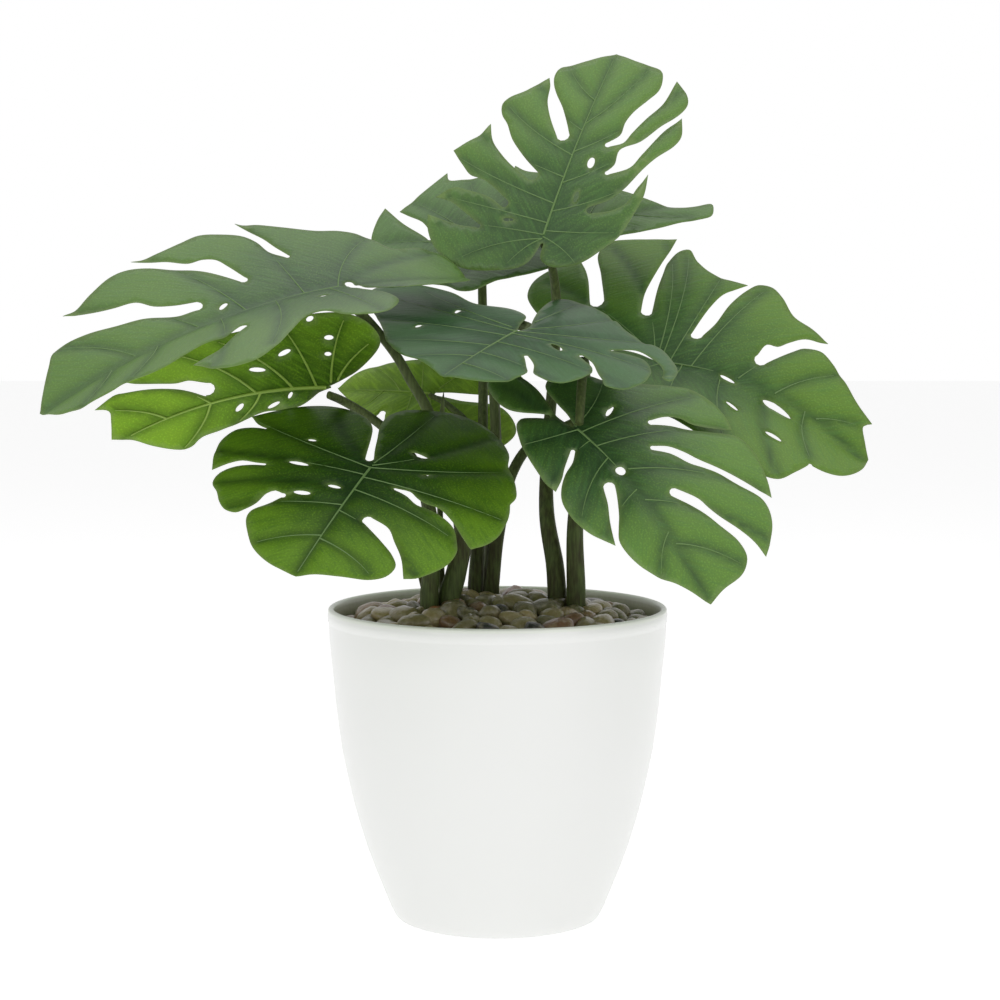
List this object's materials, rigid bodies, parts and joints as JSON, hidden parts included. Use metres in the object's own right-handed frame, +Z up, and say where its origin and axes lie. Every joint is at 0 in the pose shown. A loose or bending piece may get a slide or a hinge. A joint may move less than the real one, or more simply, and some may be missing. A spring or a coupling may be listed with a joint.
{
  "type": "potted monstera plant",
  "caption": "Split-leaf plant with broad, holed leaves on tapering stalks, growing from a pebble-topped round white pot with a raised line under its lip.",
  "frame": {"origin": "middle of the pot's base, on the floor", "axes": "+Z up; the view the plant is composed for looks along +Y, with the widest leaf on the -X side"},
  "size_m": [0.3545, 0.2401, 0.3865],
  "materials": {
    "pot_glaze": "smooth satin white glaze",
    "soil": "dark damp potting soil, loose and matte",
    "pebbles": "polished river pebbles, olive to tan and brown",
    "leaf_green": "waxy dark green leaf, satin",
    "leaf_light": "paler leaf with light coming through, satin",
    "stalk_green": "brown-green fibrous stalk"
  },
  "bodies": {
    "root": {"pot": "pot_glaze", "soil": "soil", "pebble_bed": "pebbles", "leaf_top": "leaf_green", "leaf_top_back": "leaf_green", "leaf_left": "leaf_green", "leaf_left_lower": "leaf_light", "leaf_centre": "leaf_green", "leaf_right": "leaf_green", "leaf_right_front": "leaf_green", "leaf_left_front": "leaf_green", "leaf_back": "leaf_light", "stalk_top": "stalk_green", "stalk_top_back": "stalk_green", "stalk_left": "stalk_green", "stalk_left_lower": "stalk_green", "stalk_centre": "stalk_green", "stalk_right": "stalk_green", "stalk_right_front": "stalk_green", "stalk_left_front": "stalk_green", "stalk_back": "stalk_green", "sprout": "leaf_green"}
  },
  "joints": []
}
